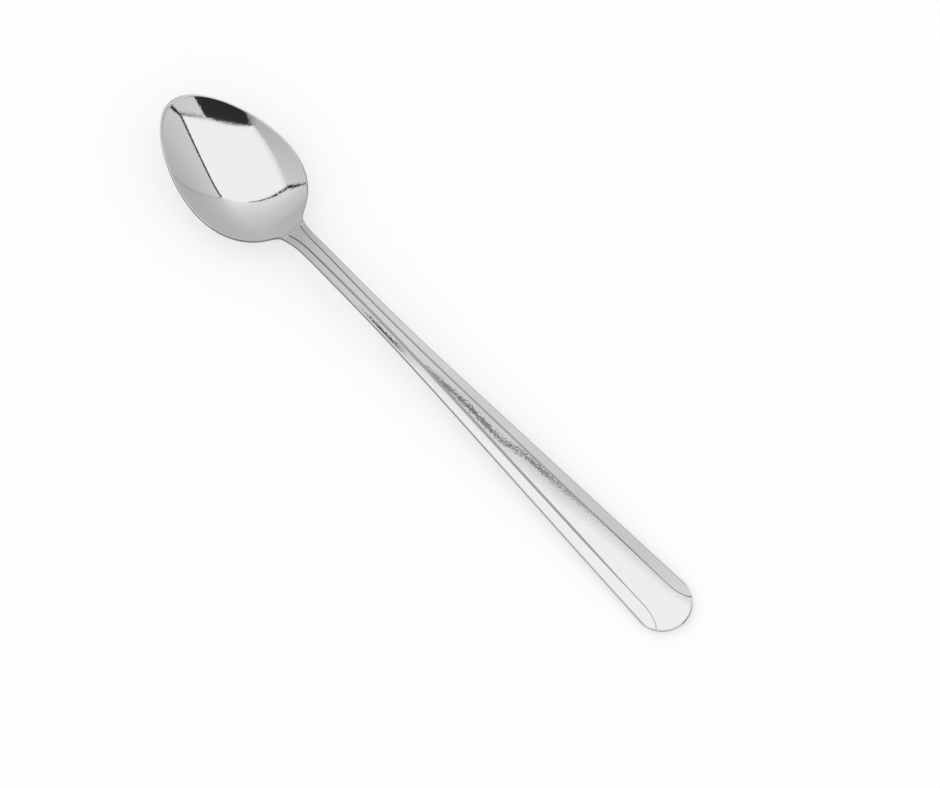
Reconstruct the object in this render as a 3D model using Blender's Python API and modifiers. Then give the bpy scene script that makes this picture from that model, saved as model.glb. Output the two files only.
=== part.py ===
"""Long-handled dessert spoon, pressed from a single blank of stainless steel.

Run it with Blender 4.5: blender --background --python part.py
Metres, +Z up. The spoon lies face up on the plane z = 0, along X, its bowl towards -X.

A flat grid is laid over half of the blank's outline and extruded into a sheet. Its upper and lower
points are then set to the height that the press gives them there, and the half is mirrored. All of
this is worked out along the handle, with x = 0 at the tip of the bowl and z = 0 on the handle's face.
Only at the end is the spoon tilted, so that it lies on its bowl and on the end of its handle, and
flattened a little where it rests.
"""

import math

import bmesh
import bpy
from mathutils import Matrix

# Outline of the blank, seen from above.
OVERALL_LENGTH = 0.190
BOWL_LENGTH = 0.0457
BOWL_WIDTH = 0.0309
BOWL_WIDEST = 0.0270  # from the tip of the bowl to where it is widest
SHOULDER_SIZE = 0.0072  # how far the bowl's outline is eased into the neck
NECK_WIDTH = 0.0059
NECK_LENGTH = 0.0385  # from the bowl to where the handle starts to widen
NECK_SPREAD = 0.0011  # how much wider the neck is, on each side, where it meets the bowl
SPREAD_LENGTH = 0.0075  # over which it narrows again
HANDLE_END_WIDTH = 0.0152  # the end of the handle is a half circle this wide

# Side view.
BOWL_DEPTH = 0.0058
TIP_DEEPENING = 0.5  # share by which the bowl gets deeper, over its length, towards its raised tip
TIP_RISE = 0.0037  # height of the bowl's tip over the rest of its rim
TIP_CURVE = 0.026  # from the tip to where the rim is level
NECK_RISE = 0.0029  # height of the handle's face over the rest of the bowl's rim
NECK_SLOPE = 0.38  # slope of that rise
NECK_CURVE = 0.003  # how far the top of the rise is eased into the handle
BEND_SIZE = 0.0015  # how far each other bend in the side view is eased
RUN_OUT_SLOPE = 0.08  # how fast the hollow of the bowl runs out along the neck
BOWL_THICKNESS = 0.0011
NECK_THICKNESS = 0.0022
END_THICKNESS = 0.0017
EDGE_ROUNDING = 0.00035
REST_FLAT = 0.00012  # how deep the flats are on which the bowl and the end of the handle rest

# Raised panel along the middle of the handle, and the lower border on each side of it.
BORDER_AT_NECK = 0.00165
BORDER_AT_END = 0.0034
BORDER_AT_TIP = 0.0011  # what is left of the border where the panel's edge runs out at the end
FLARE_LENGTH = 0.0052  # over which the panel's edge turns outwards to run out
STEP_HEIGHT = 0.00035
STEP_WIDTH = 0.0005
CROWN_RADIUS = 0.060  # the handle's face is slightly round across its width
BORDER_FALL = 0.00015  # how much lower the outer side of a border is than its inner side

# How finely the sheet is divided.
PANEL_COLUMNS = 5
BORDER_COLUMNS = 2
TIP_ROWS = 8
BOWL_ROWS = 13
SHOULDER_ROWS = 14
NECK_ROWS = 12
HANDLE_ROWS = 9
END_ROWS = 12
ROUNDING_SEGMENTS = 3

BOWL_HALF = BOWL_WIDTH / 2
NECK_HALF = NECK_WIDTH / 2
END_RADIUS = HANDLE_END_WIDTH / 2
END_CENTRE = OVERALL_LENGTH - END_RADIUS
NECK_START = BOWL_LENGTH * 0.97
TAPER_START = BOWL_LENGTH + NECK_LENGTH
TIP_CORNER = BOWL_LENGTH / 15  # where the first row of the grid, which follows the tip, meets the side
COLUMNS = PANEL_COLUMNS + 1 + BORDER_COLUMNS


def smooth_max(a, b, reach):
    """The larger of a and b, eased where they are within reach of each other."""
    near = max(reach - abs(a - b), 0) / reach
    return max(a, b) + near**3 * reach / 6


def smooth_step(start, stop, x):
    """0 up to start, 1 from stop on, and an S between them."""
    share = min(max((x - start) / (stop - start), 0), 1)
    return share * share * (3 - 2 * share)


def mix(a, b, share):
    return a + (b - a) * share


# Outline

def egg_square(x):
    """Square of the bowl's half width at x, which goes below zero past its ends."""
    lean = 1 / (BOWL_LENGTH - BOWL_WIDEST) - 1 / BOWL_WIDEST
    swell = lean / (2 - lean * BOWL_WIDEST)
    full = BOWL_WIDEST * (BOWL_LENGTH - BOWL_WIDEST) * (1 + swell * BOWL_WIDEST) ** 2
    return BOWL_HALF**2 / full * x * (BOWL_LENGTH - x) * (1 + swell * x) ** 2


def handle_half_width(x):
    slope = (END_RADIUS - NECK_HALF) / (END_CENTRE - TAPER_START)
    spread = min(max(1 - (x - BOWL_LENGTH) / SPREAD_LENGTH, 0), 1.3)
    widening = smooth_max(0, slope * (x - TAPER_START), NECK_HALF / 2)
    return NECK_HALF + NECK_SPREAD * spread**2 + widening


def outline_square(x):
    """Square of half the width of the blank at x, up to where its round end starts."""
    handle_square = handle_half_width(x) ** 2 + min(x - BOWL_WIDEST, 0) * BOWL_HALF
    return max(smooth_max(egg_square(x), handle_square, SHOULDER_SIZE**2), 0)


def half_width(x):
    return math.sqrt(outline_square(x))


# Rows and columns of the grid

def grid_rows():
    """Each row as where it meets the side of the blank, and how far its middle lies beyond that."""
    tip_stop = BOWL_LENGTH * 0.3
    shoulder_start = BOWL_LENGTH * 0.86
    shoulder_stop = BOWL_LENGTH * 1.14
    end_start = END_CENTRE - 1.7 * END_RADIUS
    rows = []
    for i in range(TIP_ROWS):
        share = i / TIP_ROWS
        rows.append((mix(TIP_CORNER, tip_stop, share), -TIP_CORNER * (1 - share)))
    straight = [
        (tip_stop, shoulder_start, BOWL_ROWS),
        (shoulder_start, shoulder_stop, SHOULDER_ROWS),
        (shoulder_stop, TAPER_START, NECK_ROWS),
        (TAPER_START, end_start, HANDLE_ROWS),
    ]
    for start, stop, count in straight:
        rows += [(mix(start, stop, i / count), 0) for i in range(count)]
    for i in range(END_ROWS + 1):
        share = i / END_ROWS
        rows.append((mix(end_start, END_CENTRE, share), END_RADIUS * share**2))
    return rows


def step_share(side):
    """Where the middle of the step crosses a row, as a share of the way from its middle to its side."""
    along = max((side - BOWL_LENGTH) / (END_CENTRE - BOWL_LENGTH), 0)
    border = mix(BORDER_AT_NECK, BORDER_AT_END, along)
    run_out = max(1 - (END_CENTRE - side) / FLARE_LENGTH, 0)
    return 1 - mix(border, BORDER_AT_TIP, run_out**2) / half_width(side)


def column_shares(side):
    """Where each column crosses a row: evenly in the bowl, along the panel's edge on the handle."""
    even = [j / COLUMNS for j in range(COLUMNS + 1)]
    on_handle = smooth_step(BOWL_LENGTH * 0.75, BOWL_LENGTH, side)
    if on_handle == 0:
        return even
    step = step_share(side)
    step_half = STEP_WIDTH / 2 / half_width(side)
    shares = [mix(0, step - step_half, j / PANEL_COLUMNS) for j in range(PANEL_COLUMNS + 1)]
    shares += [mix(step + step_half, 1, j / BORDER_COLUMNS) for j in range(BORDER_COLUMNS + 1)]
    return [mix(a, b, on_handle) for a, b in zip(even, shares)]


def place(side, bulge, share):
    """Point of the blank at this share of the way along a row."""
    straight = share * half_width(side)
    if bulge >= 0:
        return side + bulge * math.sqrt(1 - share**2), straight
    round_tip = half_width(side * share**2)
    return side + bulge * (1 - share**2), mix(straight, round_tip, -bulge / TIP_CORNER)


# Heights

def profile(x):
    """Height along the middle of the blank before the bowl is sunk: rim, neck and handle."""
    rim = smooth_max(0, TIP_RISE * (1 - x / TIP_CURVE), BEND_SIZE) - NECK_RISE
    neck = -smooth_max(0, NECK_RISE - NECK_SLOPE * (x - NECK_START), NECK_CURVE)
    return smooth_max(rim, neck, BEND_SIZE)


def sheet(x, y, ease):
    """Height of the blank with the bowl sunk into it, the bowl's edge eased by this much."""
    deeper = 1 + TIP_DEEPENING * (BOWL_WIDEST - min(x, BOWL_LENGTH)) / BOWL_LENGTH
    hollow = BOWL_DEPTH * deeper * (outline_square(x) - y * y) / BOWL_HALF**2
    run_out = RUN_OUT_SLOPE * max(x - BOWL_LENGTH, 0)
    return profile(x) - smooth_max(hollow - run_out, 0, ease)


def face_height(x, y, column):
    """Height of the upper side, with the panel, steps and borders of the handle."""
    relief = smooth_step(BOWL_LENGTH, BOWL_LENGTH + 4 * STEP_WIDTH, x)
    lower = y * y / (2 * CROWN_RADIUS)
    if column > PANEL_COLUMNS:
        outwards = (column - PANEL_COLUMNS - 1) / BORDER_COLUMNS
        lower += STEP_HEIGHT + BORDER_FALL * outwards
    return sheet(x, y, EDGE_ROUNDING) - lower * relief


def thickness(x):
    along = (x - BOWL_LENGTH) / (OVERALL_LENGTH - BOWL_LENGTH)
    handle = mix(NECK_THICKNESS, END_THICKNESS, along)
    return mix(BOWL_THICKNESS, handle, smooth_step(BOWL_LENGTH * 0.9, BOWL_LENGTH * 1.15, x))


def back_height(x, y):
    """Height of the underside, where the bowl runs into the neck in a much longer curve."""
    ease = mix(EDGE_ROUNDING, BEND_SIZE, smooth_step(BOWL_LENGTH * 0.75, BOWL_LENGTH, x))
    return sheet(x, y, ease) - thickness(x)


# The solid

def half_spoon():
    """Mesh of the half on the +Y side, open where the other half joins it."""
    rows = grid_rows()
    shares = [column_shares(side) for side, bulge in rows]
    body = bmesh.new()
    bmesh.ops.create_grid(body, x_segments=len(rows) - 1, y_segments=COLUMNS, size=0.5)
    column_of = body.verts.layers.int.new("column")
    for vertex in body.verts:
        row = round((vertex.co.x + 0.5) * (len(rows) - 1))
        column = round((vertex.co.y + 0.5) * COLUMNS)
        side, bulge = rows[row]
        vertex.co.xy = place(side, bulge, shares[row][column])
        vertex[column_of] = column
    back = list(body.verts)
    raised = bmesh.ops.extrude_face_region(body, geom=list(body.faces), use_keep_orig=True)
    face = [item for item in raised["geom"] if isinstance(item, bmesh.types.BMVert)]
    for vertex in back:
        vertex.co.z = back_height(vertex.co.x, vertex.co.y)
    for vertex in face:
        vertex.co.z = face_height(vertex.co.x, vertex.co.y, vertex[column_of])
    joint = [side for side in body.faces if all(v[column_of] == 0 for v in side.verts)]
    bmesh.ops.delete(body, geom=joint, context="FACES")
    bmesh.ops.recalc_face_normals(body, faces=list(body.faces))
    mesh = bpy.data.meshes.new("spoon")
    body.to_mesh(mesh)
    body.free()
    return mesh


def steel():
    material = bpy.data.materials.new("polished_steel")
    material.use_nodes = True
    shader = material.node_tree.nodes["Principled BSDF"]
    shader.inputs["Base Color"].default_value = (0.78, 0.78, 0.79, 1)
    shader.inputs["Metallic"].default_value = 1
    shader.inputs["Roughness"].default_value = 0.12
    return material


def lay_down(spoon):
    """Tilts the spoon until its bowl and the end of its handle are level, and sets it on the origin."""
    graph = bpy.context.evaluated_depsgraph_get()
    points = [vertex.co.copy() for vertex in spoon.evaluated_get(graph).data.vertices]
    bowl = [point for point in points if point.x < BOWL_LENGTH]
    handle = [point for point in points if point.x > END_CENTRE]
    tilt = 0
    for _ in range(20):
        turn = Matrix.Rotation(tilt, 3, "Y")
        under_bowl = min((turn @ point for point in bowl), key=lambda point: point.z)
        under_end = min((turn @ point for point in handle), key=lambda point: point.z)
        tilt += math.atan2(under_end.z - under_bowl.z, under_end.x - under_bowl.x)
    laid = [Matrix.Rotation(tilt, 3, "Y") @ point for point in points]
    along = [point.x for point in laid]
    spoon.rotation_euler.y = tilt
    spoon.location = -(min(along) + max(along)) / 2, 0, -min(point.z for point in laid)


def flatten_where_it_rests(spoon):
    """Levels the lowest points of the bowl and of the handle's end, so that the spoon lies still."""
    placed = Matrix.Translation(spoon.location) @ Matrix.Rotation(spoon.rotation_euler.y, 4, "Y")
    for vertex in spoon.data.vertices:
        point = placed @ vertex.co
        point.z = max(point.z, REST_FLAT)
        vertex.co = placed.inverted() @ point
    spoon.location.z -= REST_FLAT


for existing in list(bpy.data.objects):
    bpy.data.objects.remove(existing, do_unlink=True)

parts = bpy.data.collections.new("Long-handled dessert spoon")
bpy.context.scene.collection.children.link(parts)
spoon = bpy.data.objects.new("spoon", half_spoon())
spoon.data.materials.append(steel())
parts.objects.link(spoon)

mirror = spoon.modifiers.new("Other half", "MIRROR")
mirror.use_axis = (False, True, False)
mirror.merge_threshold = 0.00001

rounding = spoon.modifiers.new("Rounded edge", "BEVEL")
rounding.limit_method = "ANGLE"
rounding.angle_limit = math.radians(40)
rounding.width = EDGE_ROUNDING
rounding.segments = ROUNDING_SEGMENTS
rounding.miter_outer = "MITER_ARC"

lay_down(spoon)
flatten_where_it_rests(spoon)
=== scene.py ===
import math

import bpy
from mathutils import Euler, Matrix, Vector


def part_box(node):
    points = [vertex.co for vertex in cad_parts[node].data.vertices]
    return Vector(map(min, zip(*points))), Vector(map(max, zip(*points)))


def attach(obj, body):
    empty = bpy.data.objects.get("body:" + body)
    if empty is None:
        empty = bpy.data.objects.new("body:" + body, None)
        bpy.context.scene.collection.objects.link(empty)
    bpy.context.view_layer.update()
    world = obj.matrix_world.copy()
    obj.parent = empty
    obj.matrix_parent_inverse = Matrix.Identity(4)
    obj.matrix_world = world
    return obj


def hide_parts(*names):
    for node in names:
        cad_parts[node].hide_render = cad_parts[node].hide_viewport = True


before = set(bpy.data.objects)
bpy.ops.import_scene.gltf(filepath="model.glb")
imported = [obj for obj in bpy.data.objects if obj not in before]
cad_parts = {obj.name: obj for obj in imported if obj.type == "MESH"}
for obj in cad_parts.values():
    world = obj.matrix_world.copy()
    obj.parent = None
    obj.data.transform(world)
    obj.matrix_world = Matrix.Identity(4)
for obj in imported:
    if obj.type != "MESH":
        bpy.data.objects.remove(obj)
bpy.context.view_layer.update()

# The spoon is one piece. A blank of stainless steel is cut out, pressed between two dies that sink the
# bowl and raise the panel along the handle, and then ground round at its edge and polished to a mirror.
# The tree below lays a grid over the blank and gives its points the heights that the dies press.

SPOON_SIZES = {
    "Overall length": 0.190,
    "Bowl length": 0.0457,
    "Bowl width": 0.0309,
    "Bowl widest": 0.0270,
    "Shoulder size": 0.0072,
    "Neck width": 0.0059,
    "Neck length": 0.0385,
    "Neck spread": 0.0011,
    "Spread length": 0.0075,
    "Handle end width": 0.0152,
    "Bowl depth": 0.0058,
    "Tip deepening": 0.5,
    "Tip rise": 0.0037,
    "Tip curve": 0.026,
    "Neck rise": 0.0029,
    "Neck slope": 0.38,
    "Neck curve": 0.003,
    "Bend size": 0.0015,
    "Run-out slope": 0.16,
    "Rim land": 0.0002,
    "Rim ease": 0.0001,
    "Bowl thickness": 0.0011,
    "Neck thickness": 0.0022,
    "End thickness": 0.0017,
    "Edge rounding": 0.00035,
    "Border at neck": 0.00165,
    "Border at end": 0.0034,
    "Border at tip": 0.0011,
    "Flare length": 0.0052,
    "Step start": 0.0012,
    "Step height": 0.00035,
    "Step width": 0.00042,
    "Step at neck": 0.0002,
    "Step at end": 0.00015,
    "Step corner": 0.0001,
    "Crown radius": 0.060,
    "Border fall": 0.00015,
}
# Faces of the grid, across half of the blank from its middle to its edge, and then along it.
PANEL_COLUMNS = 14
STEP_COLUMNS = 12
BORDER_COLUMNS = 8
EDGE_COLUMNS = 6
EDGE_ROWS = 6
TIP_ROWS = 30
BOWL_ROWS = 64
SHOULDER_ROWS = 52
NECK_ROWS = 30
HANDLE_ROWS = 30
END_ROWS = 50

pressed_spoon = bpy.data.node_groups.new("Pressed spoon", "GeometryNodeTree")
pressed_spoon.is_modifier = True
pressed_spoon.interface.new_socket("Geometry", in_out="OUTPUT", socket_type="NodeSocketGeometry")
spoon_sockets = {}
for name, value in SPOON_SIZES.items():
    socket = pressed_spoon.interface.new_socket(name, in_out="INPUT", socket_type="NodeSocketFloat")
    socket.default_value = value
    spoon_sockets[name] = socket.identifier
steel_socket = pressed_spoon.interface.new_socket(
    "Steel", in_out="INPUT", socket_type="NodeSocketMaterial"
).identifier
tree_inputs = pressed_spoon.nodes.new("NodeGroupInput")


def tree_node(kind, *values, **settings):
    """A node of the tree with these settings, and with these values or links at its inputs."""
    node = pressed_spoon.nodes.new(kind)
    for setting, value in settings.items():
        setattr(node, setting, value)
    sockets = [socket for socket in node.inputs if socket.enabled]
    for socket, value in zip(sockets, values):
        if isinstance(value, Length):
            pressed_spoon.links.new(value.socket, socket)
        elif isinstance(value, bpy.types.NodeSocket):
            pressed_spoon.links.new(value, socket)
        else:
            socket.default_value = value
    return node


class Length:
    """A number that the tree works out. Arithmetic on it adds Math nodes to the tree."""

    def __init__(self, socket):
        self.socket = socket

    def __add__(self, other):
        return calculate("ADD", self, other)

    def __radd__(self, other):
        return calculate("ADD", other, self)

    def __sub__(self, other):
        return calculate("SUBTRACT", self, other)

    def __rsub__(self, other):
        return calculate("SUBTRACT", other, self)

    def __mul__(self, other):
        return calculate("MULTIPLY", self, other)

    def __rmul__(self, other):
        return calculate("MULTIPLY", other, self)

    def __truediv__(self, other):
        return calculate("DIVIDE", self, other)

    def __rtruediv__(self, other):
        return calculate("DIVIDE", other, self)


def calculate(operation, *values):
    return Length(tree_node("ShaderNodeMath", *values, operation=operation).outputs[0])


def square(value):
    return value * value


def smaller(a, b):
    return calculate("MINIMUM", a, b)


def larger(a, b):
    return calculate("MAXIMUM", a, b)


def eased_larger(a, b, reach):
    """The larger of a and b, eased where they are within reach of each other."""
    return calculate("SMOOTH_MAX", a, b, reach)


def share_of_way(value, start, stop):
    """0 up to start, 1 from stop on, and even in between."""
    return Length(tree_node("ShaderNodeMapRange", value, start, stop).outputs[0])


def eased_share(value, start, stop):
    """0 up to start, 1 from stop on, and an S in between."""
    node = tree_node("ShaderNodeMapRange", value, start, stop, interpolation_type="SMOOTHSTEP")
    return Length(node.outputs[0])


def mixed(a, b, share):
    return a + (b - a) * share


size = {name: Length(tree_inputs.outputs[name]) for name in SPOON_SIZES}
overall_length = size["Overall length"]
bowl_length = size["Bowl length"]
bowl_widest = size["Bowl widest"]
bowl_half = size["Bowl width"] / 2
neck_half = size["Neck width"] / 2
end_radius = size["Handle end width"] / 2
edge = size["Edge rounding"]
bend = size["Bend size"]
rim_land = size["Rim land"]
rim_strip = 3 * edge
step_corner = size["Step corner"]

# Places along the spoon, measured from the tip of the bowl.
tip_corner = bowl_length / 15
tip_stop = bowl_length * 0.3
shoulder_start = bowl_length * 0.75
levelling_start = bowl_length * 0.86
thickening_start = bowl_length * 0.9
neck_start = bowl_length * 0.97
neck_bend_stop = bowl_length * 1.14
thickening_stop = bowl_length * 1.15
step_start = bowl_length + size["Step start"]
taper_start = bowl_length + size["Neck length"]
end_centre = overall_length - end_radius
fading_start = end_centre - 4 * end_radius
end_start = end_centre - 1.7 * end_radius

# Outline of the blank. The bowl is an egg, swelled so that it is widest where it should be, and the
# square of its half width is eased into the square of the handle's.
SPREAD_LIMIT = 1.3
egg_lean = 1 / (bowl_length - bowl_widest) - 1 / bowl_widest
egg_swell = egg_lean / (2 - egg_lean * bowl_widest)
egg_full = bowl_widest * (bowl_length - bowl_widest) * square(1 + egg_swell * bowl_widest)
egg_scale = square(bowl_half) / egg_full
taper = (end_radius - neck_half) / (end_centre - taper_start)
taper_ease = neck_half / 2


def egg_square(x):
    """Square of the bowl's half width at x, which goes below zero past its ends."""
    return egg_scale * x * (bowl_length - x) * square(1 + egg_swell * x)


def outline_square(x):
    """Square of half the width of the blank at x, up to where its round end starts."""
    spread = smaller(larger(1 - (x - bowl_length) / size["Spread length"], 0), SPREAD_LIMIT)
    tapered = eased_larger(0, taper * (x - taper_start), taper_ease)
    handle_half = neck_half + size["Neck spread"] * square(spread) + tapered
    handle_square = square(handle_half) + smaller(x - bowl_widest, 0) * bowl_half
    return larger(eased_larger(egg_square(x), handle_square, square(size["Shoulder size"])), 0)


def half_width(x):
    return calculate("SQRT", outline_square(x))


# Each row of the grid crosses the blank. It is known by where it meets the blank's side, and it bends
# back from there along the tip of the bowl, or forward round the end of the handle.
half_columns = PANEL_COLUMNS + STEP_COLUMNS + BORDER_COLUMNS + EDGE_COLUMNS
row_runs = [
    (TIP_ROWS, tip_stop),
    (BOWL_ROWS, levelling_start),
    (SHOULDER_ROWS, neck_bend_stop),
    (NECK_ROWS, taper_start),
    (HANDLE_ROWS, end_start),
    (END_ROWS, end_centre - edge),
]
all_rows = 2 * EDGE_ROWS + sum(count for count, run_stop in row_runs)
grid = tree_node("GeometryNodeMeshGrid", 1.0, 2.0, all_rows + 1, 2 * half_columns + 1)
grid_place = tree_node("ShaderNodeSeparateXYZ", tree_node("GeometryNodeInputPosition").outputs[0])
row_share = Length(grid_place.outputs["X"]) + 0.5
across = Length(grid_place.outputs["Y"])
column = calculate("ABSOLUTE", across) * half_columns

tip_turn = share_of_way(row_share, 0.0, EDGE_ROWS / all_rows) * (math.pi / 2)
end_turn = share_of_way(row_share, 1 - EDGE_ROWS / all_rows, 1.0) * (math.pi / 2)
side = tip_corner + edge * (1 - calculate("COSINE", tip_turn)) + edge * calculate("SINE", end_turn)
run_start = tip_corner + edge
rows_done = EDGE_ROWS
run_shares = []
for count, run_stop in row_runs:
    run_shares.append(share_of_way(row_share, rows_done / all_rows, (rows_done + count) / all_rows))
    side = side + run_shares[-1] * (run_stop - run_start)
    run_start = run_stop
    rows_done += count
tip_bend = 1 - run_shares[0]
end_bend = square(run_shares[-1])

# The columns are even in the bowl. On the handle they follow the step at each side of the panel, which
# widens along the neck and narrows again towards the end, where the border runs out to the edge.
panel_stop = PANEL_COLUMNS
step_stop = panel_stop + STEP_COLUMNS
border_stop = step_stop + BORDER_COLUMNS
side_turn = share_of_way(column, border_stop, half_columns) * (math.pi / 2)
width = half_width(side)
panel_along = larger((side - bowl_length) / (end_centre - bowl_length), 0)
border = mixed(size["Border at neck"], size["Border at end"], panel_along)
run_out = larger(1 - (end_centre - side) / size["Flare length"], 0)
border = mixed(border, size["Border at tip"], square(run_out))
widening = eased_share(side, bowl_length, taper_start)
fading = eased_share(side, fading_start, end_centre)
step_width = mixed(size["Step at neck"], size["Step width"], widening)
step_width = mixed(step_width, size["Step at end"], fading)
step_reach = step_width / 2 + step_corner
panel_half = width - border - step_reach
in_bowl = (
    share_of_way(column, 0.0, step_stop) * (width - rim_strip - edge)
    + share_of_way(column, step_stop, border_stop) * rim_strip
)
on_handle = (
    share_of_way(column, 0.0, panel_stop) * panel_half
    + share_of_way(column, panel_stop, step_stop) * step_reach * 2
    + share_of_way(column, step_stop, border_stop) * (border - step_reach - edge)
)
handle_share = eased_share(side, shoulder_start, bowl_length)
out = mixed(in_bowl, on_handle, handle_share) + edge * calculate("SINE", side_turn)
out_share = square(smaller(out / width, 1))
x = side - tip_corner * tip_bend * (1 - out_share)
x = x + end_radius * end_bend * calculate("SQRT", 1 - out_share)
y = mixed(out, half_width(side * out_share), tip_bend)

# Heights, from the face of the handle. The blank is bent up at the tip and at the neck, and the bowl is
# sunk into it. Towards the neck the hollow is level over the neck's width, and so it has a straight end.
neck_rise = size["Neck rise"]
rim = eased_larger(0, size["Tip rise"] * (1 - x / size["Tip curve"]), bend) - neck_rise
neck = 0 - eased_larger(0, neck_rise - size["Neck slope"] * (x - neck_start), size["Neck curve"])
bent = eased_larger(rim, neck, bend)
deeper = 1 + size["Tip deepening"] * (bowl_widest - smaller(x, bowl_length)) / bowl_length
level = square(neck_half * eased_share(x, levelling_start, bowl_length))
bowl_share = (outline_square(x) - eased_larger(square(y) - level, 0, level)) / square(bowl_half)
sunk = size["Bowl depth"] * deeper * bowl_share - size["Run-out slope"] * larger(x - bowl_length, 0)
hollow = eased_larger(sunk - rim_land, 0, size["Rim ease"])

# The borders of the handle are pressed lower than its panel, with a step between them.
step_head = mixed(panel_stop, step_stop, step_corner / (step_reach * 2))
step_foot = panel_stop + step_stop - step_head
step_height = size["Step height"] / size["Step width"] * step_width
lowered = (
    square(y) / (2 * size["Crown radius"])
    + step_height * share_of_way(column, step_head, step_foot)
    + size["Border fall"] * share_of_way(column, step_stop, half_columns)
)
step_full = step_start + 4 * step_width
relief = eased_share(x, step_start, step_full)
face = bent - hollow - lowered * relief
back_ease = mixed(edge, bend, eased_share(x, shoulder_start, bowl_length))
handle_along = (x - bowl_length) / (overall_length - bowl_length)
handle_thickness = mixed(size["Neck thickness"], size["End thickness"], handle_along)
thickening = eased_share(x, thickening_start, thickening_stop)
thickness = mixed(size["Bowl thickness"], handle_thickness, thickening)
back = bent - eased_larger(sunk, 0, back_ease) - thickness

# Both sides of the sheet meet at the edge, in a round.
rounded = calculate("SINE", tip_turn) * calculate("COSINE", end_turn) * calculate("COSINE", side_turn)
sheet_middle = (face + back) / 2
half_sheet = (face - back) / 2 * rounded
signed_y = y * calculate("SIGN", across)

# The polishing wheel comes from the -Y side. The edge, the rim at the tip, and the head and foot of each
# step are marked as ground and duller. Painted shade darkens them to stand in for dark reflections
# there, more so on the +Y side.
EDGE_AT_NECK, EDGE_AT_END = 1.2, 0.5
OTHER_SIDE_EDGE = 3
TIP_RIM = 0.33
# The head of a step is marked over this many corners' widths. At the end of the handle, this share of a
# step's ground mark and painted shade is left.
HEAD_AT_NECK, HEAD_PAST_NECK, OTHER_SIDE_HEAD = 1.8, 1, 2
STEP_LEFT, OTHER_SIDE_STEP_LEFT = 0.3, 0.65
minus_y_side = calculate("LESS_THAN", across, 0)
rim_ground_and_shade_full, rim_ground_and_shade_none = 1.5 * rim_land, 3 * rim_land
ground_and_shaded_tip = 1 - share_of_way(sunk, rim_ground_and_shade_full, rim_ground_and_shade_none)
ground_and_shaded_tip = ground_and_shaded_tip * (1 - eased_share(x, 0.0, tip_stop))
ground_and_shaded_edge = (1 - square(rounded)) * mixed(EDGE_AT_NECK, EDGE_AT_END, larger(handle_along, 0))
ground_and_shaded_edge = ground_and_shaded_edge * mixed(OTHER_SIDE_EDGE, 1, minus_y_side)
ground_and_shaded_edge = larger(ground_and_shaded_edge, TIP_RIM * ground_and_shaded_tip)
corner_columns = step_head - panel_stop
minus_y_head = mixed(HEAD_AT_NECK, HEAD_PAST_NECK, widening)
head_columns = corner_columns * mixed(OTHER_SIDE_HEAD, minus_y_head, minus_y_side)
ground_and_shaded_head = 1 - calculate("ABSOLUTE", column - panel_stop - head_columns) / head_columns
ground_and_shaded_foot = 1 - calculate("ABSOLUTE", column - step_foot) / corner_columns
step_left = mixed(1, mixed(OTHER_SIDE_STEP_LEFT, STEP_LEFT, minus_y_side), fading)
ground_and_shaded_step = larger(larger(ground_and_shaded_head, ground_and_shaded_foot), 0) * relief * step_left

WELD_DISTANCE = 0.000002
sheets = []
# The top sheet carries the ground mark and painted shade of the edge and the steps. The underside
# carries the edge's alone.
for sheet_height, ground_and_shade in (
    (sheet_middle + half_sheet, larger(ground_and_shaded_edge, ground_and_shaded_step)),
    (sheet_middle - half_sheet, ground_and_shaded_edge),
):
    marked = tree_node("GeometryNodeStoreNamedAttribute", grid.outputs["Mesh"], True, "ground_and_shade", ground_and_shade)
    sheet_place = tree_node("ShaderNodeCombineXYZ", x, signed_y, sheet_height)
    sheets.append(tree_node("GeometryNodeSetPosition", marked.outputs[0], True, sheet_place.outputs[0]))
underside = tree_node("GeometryNodeFlipFaces", sheets[1].outputs[0])
both_sheets = tree_node("GeometryNodeJoinGeometry")
pressed_spoon.links.new(sheets[0].outputs[0], both_sheets.inputs[0])
pressed_spoon.links.new(underside.outputs[0], both_sheets.inputs[0])
welded = tree_node("GeometryNodeMergeByDistance", both_sheets.outputs[0])
welded.inputs["Distance"].default_value = WELD_DISTANCE
smooth = tree_node("GeometryNodeSetShadeSmooth", welded.outputs[0])
plain = tree_node("GeometryNodeRealizeInstances", smooth.outputs[0])
finished = tree_node("GeometryNodeSetMaterial", plain.outputs[0])
pressed_spoon.links.new(tree_inputs.outputs["Steel"], finished.inputs["Material"])
tree_output = pressed_spoon.nodes.new("NodeGroupOutput")
pressed_spoon.links.new(finished.outputs[0], tree_output.inputs[0])

steel = bpy.data.materials.new("Polished steel")
steel.use_nodes = True
steel_shader = steel.node_tree.nodes["Principled BSDF"]
steel_shader.inputs["Metallic"].default_value = 1


def steel_node(kind, link_to, **settings):
    """A node of the steel's material that feeds this input."""
    node = steel.node_tree.nodes.new(kind)
    for setting, value in settings.items():
        setattr(node, setting, value)
    steel.node_tree.links.new(node.outputs[0], link_to)
    return node


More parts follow.
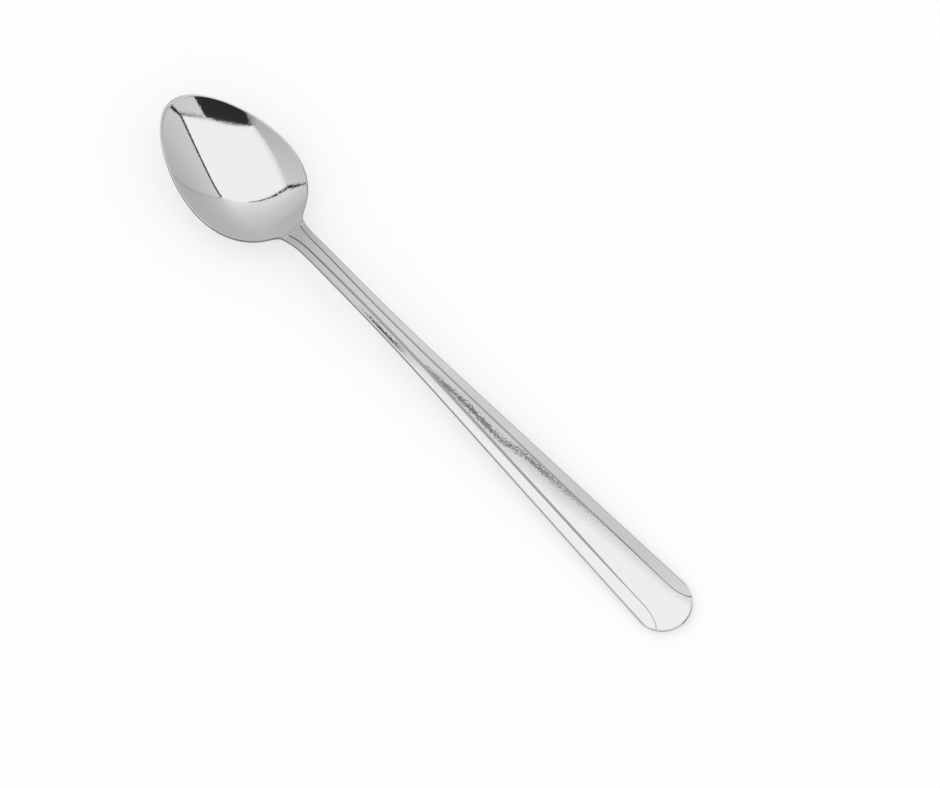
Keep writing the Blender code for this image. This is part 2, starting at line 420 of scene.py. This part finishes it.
# Where the edge is marked as ground, the steel is duller. It is also darker, with painted shade that
# stands in for dark reflections along the edges and steps.
POLISHED_COLOUR, GROUND_AND_SHADE_COLOUR = (0.78, 0.78, 0.785, 1), (0.19, 0.19, 0.193, 1)
POLISHED_ROUGHNESS, GROUND_ROUGHNESS = 0.05, 0.3
GROUND_AND_SHADE_FROM, GROUND_AND_SHADE_TO = 0.12, 0.6
steel_colour = steel_node("ShaderNodeMixRGB", steel_shader.inputs["Base Color"])
steel_colour.inputs["Color1"].default_value = POLISHED_COLOUR
steel_colour.inputs["Color2"].default_value = GROUND_AND_SHADE_COLOUR
ground_and_shade_share = steel_node("ShaderNodeMapRange", steel_colour.inputs["Fac"])
ground_and_shade_share.inputs["From Min"].default_value = GROUND_AND_SHADE_FROM
ground_and_shade_share.inputs["From Max"].default_value = GROUND_AND_SHADE_TO
ground_and_shade_read = steel_node("ShaderNodeAttribute", ground_and_shade_share.inputs["Value"], attribute_name="ground_and_shade")
steel.node_tree.links.new(ground_and_shade_read.outputs["Fac"], ground_and_shade_share.inputs["Value"])
steel_roughness = steel_node("ShaderNodeMapRange", steel_shader.inputs["Roughness"])
steel.node_tree.links.new(ground_and_shade_share.outputs[0], steel_roughness.inputs["Value"])
steel_roughness.inputs["To Min"].default_value = POLISHED_ROUGHNESS
steel_roughness.inputs["To Max"].default_value = GROUND_ROUGHNESS

# The wheel was held across the spoon, and its fine marks make reflections hairy. In the bowl they are
# finer, and finest on the wheel's side.
MARK_SPACING, MARK_LENGTH, MARK_DEPTH = 0.0004, 0.0008, 0.000028
BOWL_MARKS, HANDLE_MARKS = (0.08, 0.3), 0.8
low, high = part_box("spoon")
bowl_stop = low.x + SPOON_SIZES["Bowl length"]
marks = steel_node("ShaderNodeBump", steel_shader.inputs["Normal"])
marks.inputs["Distance"].default_value = MARK_DEPTH
mark_noise = steel_node("ShaderNodeTexNoise", marks.inputs["Height"])
mark_noise.inputs["Scale"].default_value = 1
mark_noise.inputs["Detail"].default_value = 1
mark_place = steel_node("ShaderNodeMapping", mark_noise.inputs["Vector"])
mark_place.inputs["Scale"].default_value = (1 / MARK_SPACING, 1 / MARK_LENGTH, 1 / MARK_LENGTH)
mark_origin = steel.node_tree.nodes.new("ShaderNodeTexCoord")
steel.node_tree.links.new(mark_origin.outputs["Object"], mark_place.inputs["Vector"])
mark_strength = steel_node("ShaderNodeMapRange", marks.inputs["Strength"])
mark_strength.inputs["From Min"].default_value = bowl_stop
mark_strength.inputs["From Max"].default_value = bowl_stop + SPOON_SIZES["Neck length"]
mark_strength.inputs["To Max"].default_value = HANDLE_MARKS
mark_along = steel_node("ShaderNodeSeparateXYZ", mark_strength.inputs["Value"])
bowl_strength = steel_node("ShaderNodeMapRange", mark_strength.inputs["To Min"])
bowl_strength.inputs["From Max"].default_value = SPOON_SIZES["Bowl width"] / 4
bowl_strength.inputs["To Min"].default_value, bowl_strength.inputs["To Max"].default_value = BOWL_MARKS
steel.node_tree.links.new(mark_along.outputs["Y"], bowl_strength.inputs["Value"])
steel.node_tree.links.new(mark_origin.outputs["Object"], mark_along.inputs[0])

shaping = bpy.data.objects.new("spoon shaping", bpy.data.meshes.new("spoon shaping"))
bpy.context.scene.collection.objects.link(shaping)
press = shaping.modifiers.new("Press", "NODES")
press.node_group = pressed_spoon
for name, value in SPOON_SIZES.items():
    press[spoon_sockets[name]] = value
press[steel_socket] = steel
shaped = shaping.evaluated_get(bpy.context.evaluated_depsgraph_get())
spoon_mesh = bpy.data.meshes.new_from_object(shaped)
bpy.data.objects.remove(shaping)

# It lies on its bowl and on the end of its handle, as the solid does. Each try turns it by the slope
# that is left between the lowest points of the two.
HANDLE_END = SPOON_SIZES["Overall length"] * 0.96
LEVELLING_TRIES = 12
pressed_points = [vertex.co.copy() for vertex in spoon_mesh.vertices]
under_bowl = [point for point in pressed_points if point.x < SPOON_SIZES["Bowl length"]]
under_end = [point for point in pressed_points if point.x > HANDLE_END]
tilt = 0
for _ in range(LEVELLING_TRIES):
    turn = Matrix.Rotation(tilt, 3, "Y")
    low_bowl = min((turn @ point for point in under_bowl), key=lambda point: point.z)
    low_end = min((turn @ point for point in under_end), key=lambda point: point.z)
    tilt += math.atan2(low_end.z - low_bowl.z, low_end.x - low_bowl.x)
spoon_mesh.transform(Matrix.Rotation(tilt, 4, "Y"))
lengths = [vertex.co.x for vertex in spoon_mesh.vertices]
heights = [vertex.co.z for vertex in spoon_mesh.vertices]
shift = Vector(((low.x + high.x - min(lengths) - max(lengths)) / 2, 0, low.z - min(heights)))
spoon_mesh.transform(Matrix.Translation(shift))

spoon = bpy.data.objects.new("dessert_spoon", spoon_mesh)
bpy.context.scene.collection.objects.link(spoon)
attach(spoon, "root")
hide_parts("spoon")

# The floor is a plain white table, wide enough to fill every view. It is lifted to white where the
# camera or the steel sees it, and keeps the spoon's shadow.
TABLE_COLOUR = (0.57, 0.57, 0.57, 1)
TABLE_LIFT = 0.42
TABLE_HALF = 8
table = bpy.data.materials.new("White table")
table.use_nodes = True
table_nodes = table.node_tree.nodes
table_shader = table_nodes["Principled BSDF"]
table_shader.inputs["Base Color"].default_value = TABLE_COLOUR
table_shader.inputs["Roughness"].default_value = 0.9
table_shader.inputs["Specular IOR Level"].default_value = 0.0
table_ray = table_nodes.new("ShaderNodeLightPath")
table_seen = table_ray.outputs["Is Camera Ray"]
for kind in ("Is Glossy Ray", "Is Transmission Ray"):
    either = table_nodes.new("ShaderNodeMath")
    either.operation = "MAXIMUM"
    table.node_tree.links.new(table_seen, either.inputs[0])
    table.node_tree.links.new(table_ray.outputs[kind], either.inputs[1])
    table_seen = either.outputs[0]
lift = table_nodes.new("ShaderNodeMath")
lift.operation = "MULTIPLY"
lift.inputs[1].default_value = TABLE_LIFT
table.node_tree.links.new(table_seen, lift.inputs[0])
table_white = table_nodes.new("ShaderNodeEmission")
table.node_tree.links.new(lift.outputs[0], table_white.inputs["Strength"])
lifted = table_nodes.new("ShaderNodeAddShader")
table.node_tree.links.new(table_shader.outputs[0], lifted.inputs[0])
table.node_tree.links.new(table_white.outputs[0], lifted.inputs[1])
table.node_tree.links.new(lifted.outputs[0], table_nodes["Material Output"].inputs["Surface"])
floor_corners = [(-1, -1), (1, -1), (1, 1), (-1, 1)]
floor_points = [(along * TABLE_HALF, aside * TABLE_HALF, 0) for along, aside in floor_corners]
floor_mesh = bpy.data.meshes.new("floor")
floor_mesh.from_pydata(floor_points, [], [(0, 1, 2, 3)])
floor_mesh.materials.append(table)
floor = bpy.data.objects.new("floor", floor_mesh)
bpy.context.scene.collection.objects.link(floor)

# The camera looks down at the spoon from the side, so that the handle runs to the lower right. It stands
# this far from the middle of the view, which is this wide there.
VIEW_AZIMUTH = math.radians(46.46)
VIEW_ELEVATION = math.radians(70)
VIEW_DISTANCE = 1.0
VIEW_WIDTH = 0.2393
VIEW_CENTRE = Vector((0.0139, 0.0036, 0))
SENSOR_WIDTH = 36
camera_data = bpy.data.cameras.new("camera")
camera_data.sensor_width = SENSOR_WIDTH
camera_data.lens = SENSOR_WIDTH * VIEW_DISTANCE / VIEW_WIDTH
camera = bpy.data.objects.new("camera", camera_data)
view_right = Vector((math.cos(VIEW_AZIMUTH), math.sin(VIEW_AZIMUTH), 0))
view_away = Vector((-math.sin(VIEW_AZIMUTH), math.cos(VIEW_AZIMUTH), 0))
view_back = Vector((0, 0, math.sin(VIEW_ELEVATION))) - view_away * math.cos(VIEW_ELEVATION)
camera.location = VIEW_CENTRE + view_back * VIEW_DISTANCE
camera.rotation_euler = Euler((math.pi / 2 - VIEW_ELEVATION, 0, VIEW_AZIMUTH))
bpy.context.scene.collection.objects.link(camera)
bpy.context.scene.camera = camera

# A light tent stands over the table, and the polished steel mirrors it: a bright top of white cloth,
# duller walls, dark rods sewn into its edges, and a dark gap in front for the camera to look through.
TENT_HEIGHT = 0.5
CLOTH_STEPS = 12
ROD_SIZE = 0.047
ROD_INSIDE = 0.95
BOWL_MIDDLE = Vector((low.x + SPOON_SIZES["Bowl widest"], 0, 0))
# Each corner is given in tent heights: to the right of the bowl's middle, away from the camera, and up.
# Two sides of the top are bowed, and a fold falls from corner B to a place of its own at the foot.
TOP_A, TOP_B, TOP_C, TOP_D = (0.75, -0.34, 1), (0.55, 0.92, 1), (-1.02, 0.46, 1), (-0.64, -1.08, 1)
TOP_MIDDLE = (0, 0, 1)
FOOT_A, FOOT_B, FOOT_C, FOOT_D = (1.05, 0.3, 0), (1.15, 0.7, 0), (-1.35, 0.05, 0), (-0.85, -1.30, 0)
FOOT_FOLD = (-0.3, 1.45, 0)
GAP_LEFT, GAP_LEFT_FOOT = (0.25, -0.66, 1), (-0.06, -1.3, 0)
GAP_RIGHT, GAP_RIGHT_FOOT = (-0.57, -1.05, 1), (-0.45, -1.45, 0)
BOW_AB, BOW_BC = (0.125, 0, 0), (0, 0.11, 0)
# Brightness. A cloth that isn't even has stops, each with its share of the way along the cloth and the
# brightness at the head and at the foot there.
TOP_GLOW = 1.09
GAP_GLOW = 0.03
ROD_GLOW = 0.03
SEAM_GLOW = 0.42
TOP_CD_GLOW = [(0, 0.88, TOP_GLOW), (1, 0.84, TOP_GLOW)]
WALL_AB_GLOW = [(0, 0.75, 0.64), (1, 0.77, 0.55)]
FOLD_GLOW = [(0, 0.66, 0.53), (1, 0.80, 0.58)]
WALL_BC_GLOW = [(0, 0.80, 0.58), (1 / 6, 0.93, 0.61), (1, 0.96, 0.47)]
WALL_CD_GLOW = [(0, 0.78, 0.63), (1, 0.56, 0.50)]
WALL_D_GLOW = 0.42
WALL_A_GLOW = [(0, 0.80, 0.64), (1, 0.74, 0.64)]
# How far down a cloth the brightness of its foot starts.
WALL_FADE, TOP_CD_FADE = 0.6, 0.15

cloth = bpy.data.materials.new("Lit cloth")
cloth.use_nodes = True
cloth_nodes = cloth.node_tree.nodes
cloth_nodes.clear()
cloth_light = cloth_nodes.new("ShaderNodeEmission")
cloth_glow = cloth_nodes.new("ShaderNodeAttribute")
cloth_glow.attribute_name = "glow"
cloth.node_tree.links.new(cloth_glow.outputs["Fac"], cloth_light.inputs["Strength"])
cloth_output = cloth_nodes.new("ShaderNodeOutputMaterial")
cloth.node_tree.links.new(cloth_light.outputs[0], cloth_output.inputs["Surface"])


def tent_point(place):
    """Point of the tent, from its place in tent heights."""
    right, away, height = place
    return BOWL_MIDDLE + (view_right * right + view_away * away + Vector((0, 0, height))) * TENT_HEIGHT


def tent_line(start, stop, bow=(0, 0, 0)):
    """Places from one corner to another, bowed by this much halfway."""
    shares = [i / CLOTH_STEPS for i in range(CLOTH_STEPS + 1)]
    return [
        tuple(mixed(a, b, share) + c * 4 * share * (1 - share) for a, b, c in zip(start, stop, bow))
        for share in shares
    ]


def hang(name, lines, glows):
    """Sheet through these lines of points, with a brightness at each point."""
    count = len(lines[0])
    faces = []
    for i in range(len(lines) - 1):
        for j in range(count - 1):
            k = i * count + j
            faces.append((k, k + 1, k + count + 1, k + count))
    mesh = bpy.data.meshes.new(name)
    mesh.from_pydata([point for line in lines for point in line], [], faces)
    brightness = mesh.attributes.new("glow", "FLOAT", "POINT")
    brightness.data.foreach_set("value", [glow for line_glows in glows for glow in line_glows])
    mesh.materials.append(cloth)
    hung = bpy.data.objects.new(name, mesh)
    hung.visible_camera = False
    hung.visible_diffuse = False
    hung.visible_shadow = False
    bpy.context.scene.collection.objects.link(hung)


def even(glow):
    """Stops of a cloth that is equally bright all over."""
    return [(0, glow, glow), (1, glow, glow)]


def glow_between(stops, share):
    """Brightness at a cloth's head and foot, this share of the way along it."""
    for (start, *before), (stop, *after) in zip(stops, stops[1:]):
        if share <= stop:
            return [mixed(a, b, (share - start) / (stop - start)) for a, b in zip(before, after)]


def hang_cloth(name, head, foot, stops, fade=WALL_FADE):
    """Cloth between two lines of places, as bright as its stops say."""
    lines, glows = [], []
    for i, (top, bottom) in enumerate(zip(head, foot)):
        head_glow, foot_glow = glow_between(stops, i / CLOTH_STEPS)
        lines.append([tent_point(place) for place in tent_line(top, bottom)])
        drops = [min(j / CLOTH_STEPS / fade, 1) for j in range(CLOTH_STEPS + 1)]
        glows.append([mixed(head_glow, foot_glow, drop) for drop in drops])
    hang(name, lines, glows)


def hang_rod(places, start_size, stop_size, glow=ROD_GLOW):
    """Flat rod along a line of places. The sizes of its ends are shares of a plain rod's."""
    lines = []
    for i, place in enumerate(places):
        direction = tent_point(places[min(i + 1, len(places) - 1)]) - tent_point(places[max(i - 1, 0)])
        outwards = tent_point(place) - BOWL_MIDDLE
        half = mixed(start_size, stop_size, i / (len(places) - 1)) * ROD_SIZE * TENT_HEIGHT / 2
        aside = direction.cross(outwards).normalized() * half
        middle = BOWL_MIDDLE + outwards * ROD_INSIDE
        lines.append([middle - aside, middle + aside])
    hang("tent rod", lines, [[glow, glow]] * len(lines))


top_ab, top_bc = tent_line(TOP_A, TOP_B, BOW_AB), tent_line(TOP_B, TOP_C, BOW_BC)
top_cd, top_da = tent_line(TOP_C, TOP_D), tent_line(TOP_D, TOP_A)
top_middle = tent_line(TOP_MIDDLE, TOP_MIDDLE)
for top_side in (top_ab, top_bc, top_da):
    hang_cloth("tent top", top_side, top_middle, even(TOP_GLOW))
hang_cloth("tent top", top_cd, top_middle, TOP_CD_GLOW, TOP_CD_FADE)
for wall_head, wall_foot, wall_glow in (
    (top_ab, tent_line(FOOT_A, FOOT_B), WALL_AB_GLOW),
    (tent_line(TOP_B, TOP_B), tent_line(FOOT_B, FOOT_FOLD), FOLD_GLOW),
    (top_bc, tent_line(FOOT_FOLD, FOOT_C), WALL_BC_GLOW),
    (top_cd, tent_line(FOOT_C, FOOT_D), WALL_CD_GLOW),
    (tent_line(TOP_D, GAP_RIGHT), tent_line(FOOT_D, GAP_RIGHT_FOOT), even(WALL_D_GLOW)),
    (tent_line(GAP_LEFT, TOP_A), tent_line(GAP_LEFT_FOOT, FOOT_A), WALL_A_GLOW),
):
    hang_cloth("tent wall", wall_head, wall_foot, wall_glow)
gap_head, gap_foot = tent_line(GAP_RIGHT, GAP_LEFT), tent_line(GAP_RIGHT_FOOT, GAP_LEFT_FOOT)
hang_cloth("tent gap", gap_head, gap_foot, even(GAP_GLOW))
# The rod from B to C starts near the middle of that side, and the one down from C ends a third of the
# way down. The seam down from B has no rod in it, and is only a little darker than the cloth.
hang_rod(top_ab, 0.75, 1.1)
hang_rod(top_bc[CLOTH_STEPS // 2 - 1 :], 0.25, 1.2)
hang_rod(tent_line(TOP_A, FOOT_A), 1, 1)
hang_rod(tent_line(TOP_C, FOOT_C)[: CLOTH_STEPS // 3 + 1], 1.9, 0.3)
hang_rod(tent_line(TOP_B, FOOT_B), 0.2, 0.6, SEAM_GLOW)
hang_rod(tent_line(TOP_A, GAP_LEFT), 0.3, 0.2)

# A grey card hangs low over the handle, whose face mirrors it. Along its near side it has a dark edge.
# Each row of it is given by its distance from the bowl's middle, where the edge is, and how bright the
# edge and the card beside it are.
CARD_HEIGHT = 0.040
CARD_ROWS = [
    (0.040, -0.0020, 0.70, 0.78),
    (0.046, -0.0016, 0.10, 0.80),
    (0.054, -0.0012, 0.10, 0.82),
    (0.058, 0.0000, 0.75, 0.82),
    (0.063, 0.0050, 0.60, 0.80),
    (0.068, 0.0062, 0.30, 0.80),
    (0.080, 0.0078, 0.20, 0.76),
    (0.0925, 0.0076, 0.20, 0.80),
    (0.0985, 0.0110, 0.20, 0.76),
    (0.112, 0.0135, 0.35, 0.74),
    (0.126, 0.0180, 0.60, 0.72),
    (0.140, 0.0215, 0.72, 0.73),
    (0.152, 0.0245, 0.84, 0.84),
    (0.160, 0.0300, 0.90, 0.90),
    (0.170, 0.0360, 1.00, 1.00),
]
CARD_WIDTH = 0.1
CARD_DIMMING = 0.95
CARD_EDGE_WIDTH = 0.0016
CARD_FADE_WIDTH = 0.010
CARD_FADE_GLOW = 0.78
card_lines, card_glows = [], []
for along, edge_place, edge_glow, card_glow in CARD_ROWS:
    profile = [
        (-CARD_FADE_WIDTH, TOP_GLOW),
        (-CARD_EDGE_WIDTH, CARD_FADE_GLOW),
        (-CARD_EDGE_WIDTH / 2, edge_glow),
        (CARD_EDGE_WIDTH / 2, edge_glow),
        (CARD_EDGE_WIDTH, card_glow),
        (CARD_WIDTH, card_glow * CARD_DIMMING),
    ]
    card_places = [(along, edge_place + aside, CARD_HEIGHT) for aside, glow in profile]
    card_lines.append([BOWL_MIDDLE + Vector(place) for place in card_places])
    card_glows.append([glow for aside, glow in profile])
hang("grey card", card_lines, card_glows)

# A plain card slopes from the grey card down to the bowl, over the neck. Its lower and its upper side
# are given by their distance from the bowl's middle, their height and their brightness.
NECK_CARD_ROWS = [(0.003, 0.0165, 0.50), (0.040, CARD_HEIGHT, 0.78)]
NECK_CARD_SIDES = (-0.045, 0.07)
neck_card_lines, neck_card_glows = [], []
for along, height, glow in NECK_CARD_ROWS:
    neck_card_lines.append([BOWL_MIDDLE + Vector((along, aside, height)) for aside in NECK_CARD_SIDES])
    neck_card_glows.append([glow] * len(NECK_CARD_SIDES))
hang("neck card", neck_card_lines, neck_card_glows)

# The room round the tent is plain white, and lights the table evenly from all sides.
world = bpy.data.worlds.new("studio")
bpy.context.scene.world = world
world.use_nodes = True
world.node_tree.nodes["Background"].inputs["Color"].default_value = (1, 1, 1, 1)
world.node_tree.nodes["Background"].inputs["Strength"].default_value = 1
bpy.context.scene.view_settings.view_transform = "Standard"
